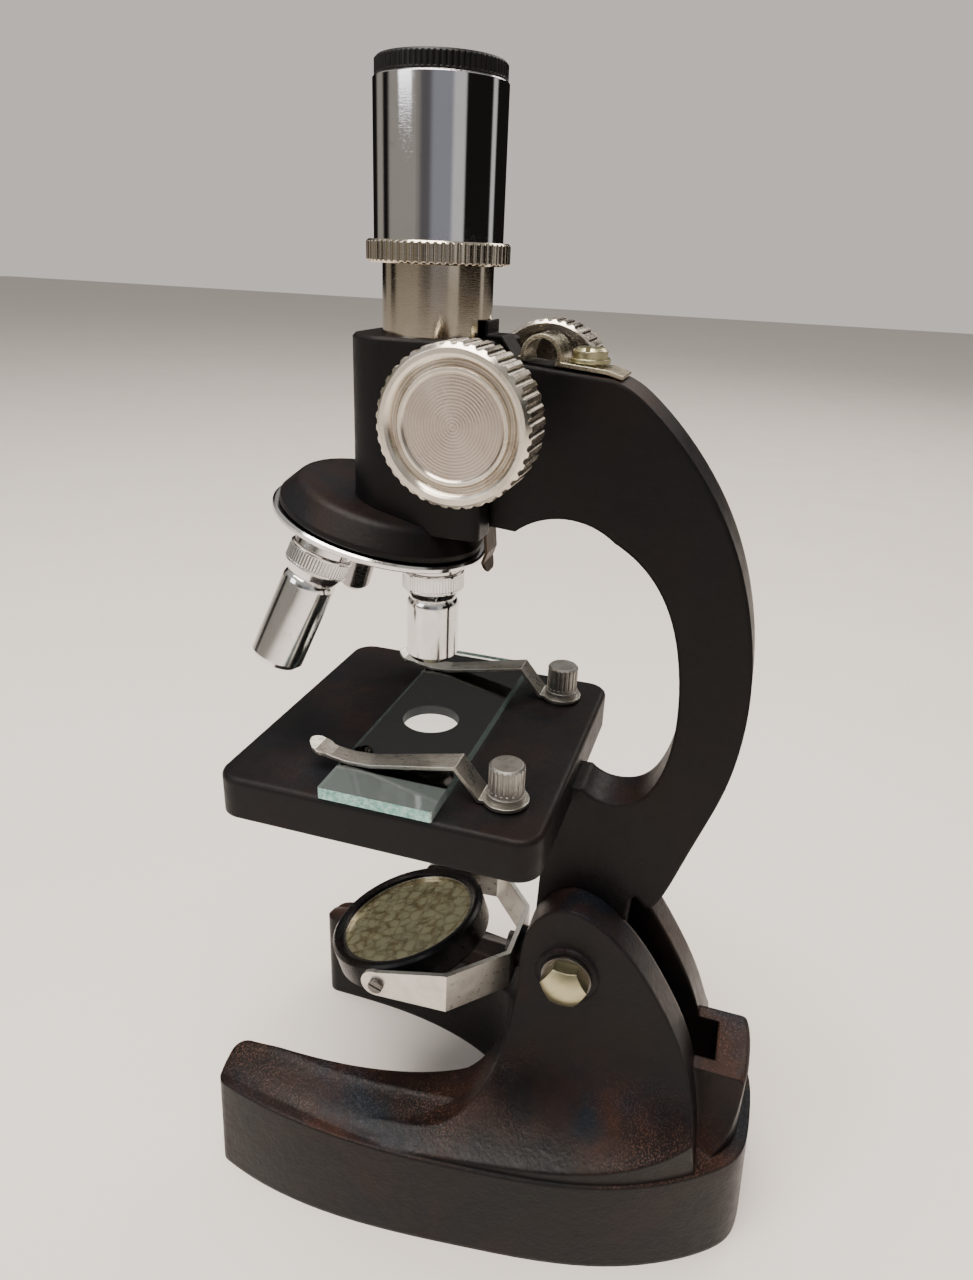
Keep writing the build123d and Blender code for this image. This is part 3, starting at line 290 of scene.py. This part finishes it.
def slide_glass(name):
    """Clear slide with green edges, rough ground ends and a lightly frosted band at one end."""
    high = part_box("glass_slide")[1]
    m = Shader(name, IOR=1.5)
    facing = m.facing()
    end = m.span(m.math("ABSOLUTE", facing[0]), 0.6, 0.9)
    edge = m.span(m.math("ABSOLUTE", facing[2]), 0.3, 0.7, 1.0, 0.0)
    band_start = high.x - FROSTED_BAND
    frosted = m.span(m.axes()[0], band_start - 0.0002, band_start + 0.0002)
    chipping = m.noise(900, detail=6, roughness=0.75)
    pits = m.span(m.cells(1300), 0.1, 0.5)
    colour = m.blend(edge, (0.90, 0.97, 0.955), (0.62, 0.86, 0.79))
    colour = m.blend(frosted, colour, (0.70, 0.84, 0.80))
    ground = m.blend(m.span(chipping, 0.38, 0.62), (0.16, 0.50, 0.43), (0.62, 0.92, 0.85))
    colour = m.blend(end, colour, ground)
    m.put("Base Color", colour)
    clear = m.minus(1.0, m.times(frosted, 0.10))
    clear = m.minus(clear, m.times(edge, 0.35))
    m.put("Transmission Weight", m.minus(clear, m.times(end, 0.35), clamp=True))
    dust = m.span(m.noise(420, detail=6, roughness=0.72), 0.62, 0.8, 0.0, 0.22)
    rough = m.plus(m.times(end, m.span(chipping, 0.3, 0.7, 0.25, 0.6)), dust)
    rough = m.plus(rough, m.times(frosted, 0.07))
    m.put("Roughness", m.plus(rough, m.times(edge, 0.04), clamp=True))
    m.put("Normal", m.bump(m.times(end, m.plus(chipping, pits)), 0.0003))
    return m.material


def old_mirror(name):
    """Desilvered mirror glass: yellow-green cells of a few millimetres with brown seams."""
    m = Shader(name, Metallic=0.85)
    blotch = m.noise(260, detail=3, roughness=0.5, distortion=0.8)
    patch = m.noise(95, detail=4, distortion=0.6)
    seam = m.plus(m.cells(300, "DISTANCE_TO_EDGE"), m.span(blotch, 0.35, 0.65, -0.06, 0.10))
    colour = m.blend(m.span(seam, 0.02, 0.22), (0.40, 0.32, 0.16), (0.66, 0.62, 0.38))
    colour = m.blend(m.span(patch, 0.45, 0.65, 0.0, 0.5), colour, (0.46, 0.46, 0.30))
    m.put("Base Color", colour)
    m.put("Roughness", m.span(blotch, 0.35, 0.65, 0.22, 0.42))
    m.put("Normal", m.bump(blotch, 0.00006))
    m.surface.inputs["Coat Weight"].default_value = 0.6
    m.surface.inputs["Coat Roughness"].default_value = 0.04
    return m.material


BLACK = (0.0048, 0.0045, 0.0047)
FOOT_ENAMEL = enamel("foot_enamel", BLACK, 0.37, 0.00010, 0.60, 0.0013, 0.8)
ARM_ENAMEL = enamel("arm_enamel", BLACK, 0.42, 0.00008, 0.22, 0.0015, 0.4)
HOUSING_ENAMEL = enamel("housing_enamel", (0.004, 0.0038, 0.004), 0.42, 0.00005, 0.10, 0.0006, 0.3)
STAGE_ENAMEL = enamel("stage_enamel", (0.0052, 0.0049, 0.0052), 0.46, 0.00004, 0.15, 0.0007, 0.3)
MIRROR_ENAMEL = enamel("mirror_enamel", (0.005, 0.0048, 0.005), 0.28, 0.00003, 0.15, 0.0006, 0.3)
CHROME = plated("sleeve_chrome", (0.80, 0.79, 0.81), 0.035, (0.50, 0.47, 0.45), 0.18, 0.30)
OBJECTIVE_CHROME = plated(
    "objective_chrome", (0.78, 0.77, 0.76), 0.10, (0.34, 0.31, 0.27), 0.35, 0.45
)
DARK_CHROME = plated(
    "small_objective_nickel", (0.30, 0.29, 0.28), 0.20, (0.09, 0.08, 0.07), 0.5, 0.5
)
NICKEL = plated("tube_nickel", (0.64, 0.57, 0.46), 0.07, (0.28, 0.21, 0.13), 0.45, 0.45)
STRAP_NICKEL = plated("strap_nickel", (0.60, 0.55, 0.42), 0.26, (0.24, 0.19, 0.11), 0.65, 0.6)
BRASS = plated("aged_brass", (0.46, 0.43, 0.27), 0.30, (0.19, 0.17, 0.09), 0.7, 0.6)
DARK_STEEL = plated("dark_steel", (0.17, 0.16, 0.15), 0.34, (0.07, 0.055, 0.045), 0.6, 0.5)
CLIP_STEEL = brushed("clip_steel", (0.58, 0.56, 0.51), (0.26, 0.23, 0.18), 0.28, (400, 18, 400))
FORK_STEEL = brushed(
    "fork_steel", (0.66, 0.64, 0.59), (0.34, 0.31, 0.26), 0.30, (120, 60, 120), 0.05, 0.35
)
POST_STEEL = brushed("post_steel", (0.33, 0.32, 0.30), (0.15, 0.14, 0.12), 0.40, (300, 300, 30))
SPRING_STEEL = brushed(
    "spring_steel", (0.055, 0.040, 0.030), (0.03, 0.02, 0.015), 0.42, (300, 300, 20)
)
LIP_STEEL = plated("mirror_lip_steel", (0.40, 0.37, 0.33), 0.20, (0.12, 0.10, 0.08), 0.6, 0.5)
EYECUP = plastic("eyecup_plastic")
LENS = lens_glass("lens_glass")
SLIDE = slide_glass("slide_glass")
MIRROR = old_mirror("old_mirror")

LOOKS = {
    "base": FOOT_ENAMEL,
    "arm": ARM_ENAMEL,
    "body_housing": HOUSING_ENAMEL,
    "nosepiece_cover": HOUSING_ENAMEL,
    "stage": STAGE_ENAMEL,
    "stop_plate": STAGE_ENAMEL,
    "mirror_frame": MIRROR_ENAMEL,
    "mirror_glass": MIRROR,
    "mirror_retainer": LIP_STEEL,
    "mirror_pivots": DARK_STEEL,
    "mirror_fork": FORK_STEEL,
    "fork_screw": DARK_STEEL,
    "eyepiece_sleeve": CHROME,
    "body_tube": NICKEL,
    "zoom_ring": NICKEL,
    "eyecup": EYECUP,
    "turret_plate": OBJECTIVE_CHROME,
    "turret_pivot": DARK_STEEL,
    "objective_long": OBJECTIVE_CHROME,
    "objective_medium": OBJECTIVE_CHROME,
    "objective_short": DARK_CHROME,
    "pinion_strap": STRAP_NICKEL,
    "strap_screw": BRASS,
    "inclination_bolt": BRASS,
    "bolt_nut": BRASS,
    "bolt_washers": DARK_STEEL,
    "pinion_shaft": DARK_STEEL,
    "pinion_bushes": BRASS,
    "pinion_gear": BRASS,
    "rack": BRASS,
    "rack_screws": DARK_STEEL,
    "stage_screws": DARK_STEEL,
    "index_spring": SPRING_STEEL,
    "index_screw": DARK_STEEL,
    "glass_slide": SLIDE,
    "eye_lens": LENS,
    "field_lens": LENS,
    "objective_lens_long": LENS,
    "objective_lens_medium": LENS,
    "objective_lens_short": LENS,
}
for hand in ("left", "right"):
    LOOKS["focus_knob_" + hand] = turned_face("turned_knob_" + hand, "focus_knob_" + hand)
    LOOKS["stage_clip_" + hand] = CLIP_STEEL
    LOOKS["clip_post_" + hand] = POST_STEEL
    LOOKS["clip_washer_" + hand] = DARK_STEEL

for node_name, piece in NODES.items():
    for material_slot in piece.material_slots:
        material_slot.material = LOOKS[node_name]


# ---------------------------------------------------------------- floor
def pale_floor():
    """A plain pale table top, warm white."""
    mesh = bpy.data.meshes.new("floor")
    signs = ((-1, -1), (1, -1), (1, 1), (-1, 1))
    corners = [(x * FLOOR_HALF, y * FLOOR_HALF, 0) for x, y in signs]
    mesh.from_pydata(corners, [], [(0, 1, 2, 3)])
    floor = bpy.data.objects.new("floor", mesh)
    bpy.context.collection.objects.link(floor)
    m = Shader("pale_floor")
    cloud = m.span(m.noise(4, detail=2), 0.3, 0.7)
    m.put("Base Color", m.blend(cloud, (0.93, 0.85, 0.785), (0.95, 0.87, 0.805)))
    m.put("Roughness", m.span(m.noise(30, detail=3), 0.3, 0.7, 0.38, 0.46))
    mesh.materials.append(m.material)


# ---------------------------------------------------------------- light
def softbox(name, place, aim, size, power, colour):
    lamp = bpy.data.lights.new(name, "AREA")
    lamp.shape = "RECTANGLE"
    lamp.size, lamp.size_y = size
    lamp.energy = power
    lamp.color = colour
    rig = bpy.data.objects.new(name, lamp)
    rig.location = place
    rig.rotation_euler = (Vector(aim) - Vector(place)).to_track_quat("-Z", "Y").to_euler()
    bpy.context.collection.objects.link(rig)


def surroundings():
    """An even pale wall to the eye; reflections show upright bands fixed in the room.

    The bands stand for the doorways and furniture that chrome shows. Their directions were
    chosen so that the sleeve has about the photo's light and dark strips.
    """
    world = bpy.data.worlds.new("room")
    bpy.context.scene.world = world
    world.use_nodes = True
    tree = world.node_tree
    tree.nodes.clear()
    output = tree.nodes.new("ShaderNodeOutputWorld")
    seen = tree.nodes.new("ShaderNodeBackground")
    seen.inputs["Color"].default_value = (0.66, 0.60, 0.56, 1)
    seen.inputs["Strength"].default_value = 1.0
    mirrored = tree.nodes.new("ShaderNodeBackground")
    mirrored.inputs["Strength"].default_value = 0.62
    where = tree.nodes.new("ShaderNodeTexCoord")
    split = tree.nodes.new("ShaderNodeSeparateXYZ")
    tree.links.new(where.outputs["Generated"], split.inputs[0])
    turn = tree.nodes.new("ShaderNodeMath")
    turn.operation = "ARCTAN2"
    tree.links.new(split.outputs["Y"], turn.inputs[0])
    tree.links.new(split.outputs["X"], turn.inputs[1])
    share = tree.nodes.new("ShaderNodeMapRange")
    share.inputs["From Min"].default_value = -math.pi
    share.inputs["From Max"].default_value = math.pi
    tree.links.new(turn.outputs[0], share.inputs["Value"])
    bands = tree.nodes.new("ShaderNodeValToRGB")
    bands.color_ramp.interpolation = "EASE"
    bright = (0.95, 0.93, 0.90, 1)
    warm = (0.50, 0.46, 0.40, 1)
    cool = (0.42, 0.42, 0.47, 1)
    dim = (0.17, 0.16, 0.16, 1)
    dark = (0.018, 0.016, 0.015, 1)
    # direction as a share of a full turn, then the colour reached there
    steps = (
        (0.0, dark), (0.17, dark), (0.195, warm), (0.235, warm), (0.25, dark), (0.275, dark),
        (0.30, warm), (0.44, warm), (0.475, dim), (0.50, dim), (0.53, cool), (0.605, cool),
        (0.625, bright), (0.668, bright), (0.682, dark), (0.82, dark), (0.835, bright),
        (0.85, bright), (0.865, dark),
    )
    ramp = bands.color_ramp.elements
    while len(ramp) < len(steps):
        ramp.new(0.5)
    for element, (position, colour) in zip(ramp, steps):
        element.position = position
        element.color = colour
    tree.links.new(share.outputs["Result"], bands.inputs["Fac"])
    upward = tree.nodes.new("ShaderNodeMapRange")
    upward.inputs["From Min"].default_value = 0.30
    upward.inputs["From Max"].default_value = 0.55
    tree.links.new(split.outputs["Z"], upward.inputs["Value"])
    ceiling = tree.nodes.new("ShaderNodeMix")
    ceiling.data_type = "RGBA"
    tree.links.new(upward.outputs["Result"], ceiling.inputs["Factor"])
    colour_inputs = [socket for socket in ceiling.inputs if socket.type == "RGBA"]
    tree.links.new(bands.outputs["Color"], colour_inputs[0])
    colour_inputs[1].default_value = (0.75, 0.73, 0.70, 1)
    tree.links.new(next(s for s in ceiling.outputs if s.type == "RGBA"), mirrored.inputs["Color"])
    ray = tree.nodes.new("ShaderNodeLightPath")
    choice = tree.nodes.new("ShaderNodeMixShader")
    tree.links.new(ray.outputs["Is Camera Ray"], choice.inputs["Fac"])
    tree.links.new(mirrored.outputs[0], choice.inputs[1])
    tree.links.new(seen.outputs[0], choice.inputs[2])
    tree.links.new(choice.outputs[0], output.inputs["Surface"])


MIDDLE = tuple((low + high) / 2 for low, high in zip(cad_low, cad_high))
pale_floor()
surroundings()
softbox("ceiling_light", (0.25, -0.15, 1.5), MIDDLE, (1.1, 0.8), 36, (1.0, 0.93, 0.86))
softbox("window_light", (1.1, -1.0, 0.9), MIDDLE, (0.7, 0.9), 8, (0.95, 0.97, 1.0))
softbox("back_light", (-1.2, 0.5, 1.1), MIDDLE, (0.9, 0.5), 8, (1.0, 0.93, 0.86))


# ---------------------------------------------------------------- camera
AZIMUTH = math.radians(106.58)
ELEVATION = math.radians(23.70)
ROLL = math.radians(2.47)
PLACE = Vector((0.17807, 0.04271, 0.23077))
LENS_LENGTH = 24.95
SENSOR_WIDTH = 36.0

backward = Vector((
    math.sin(AZIMUTH) * math.cos(ELEVATION),
    -math.cos(AZIMUTH) * math.cos(ELEVATION),
    math.sin(ELEVATION),
))
level_right = Vector((math.cos(AZIMUTH), math.sin(AZIMUTH), 0))
level_up = backward.cross(level_right)
right = level_right * math.cos(ROLL) + level_up * math.sin(ROLL)
up = level_up * math.cos(ROLL) - level_right * math.sin(ROLL)
camera = bpy.data.objects.new("camera", bpy.data.cameras.new("camera"))
camera.data.lens = LENS_LENGTH
camera.data.sensor_width = SENSOR_WIDTH
camera.data.clip_start = 0.01
axes = Matrix((right, up, backward)).transposed().to_4x4()
camera.matrix_world = Matrix.Translation(PLACE) @ axes
bpy.context.collection.objects.link(camera)
bpy.context.scene.camera = camera
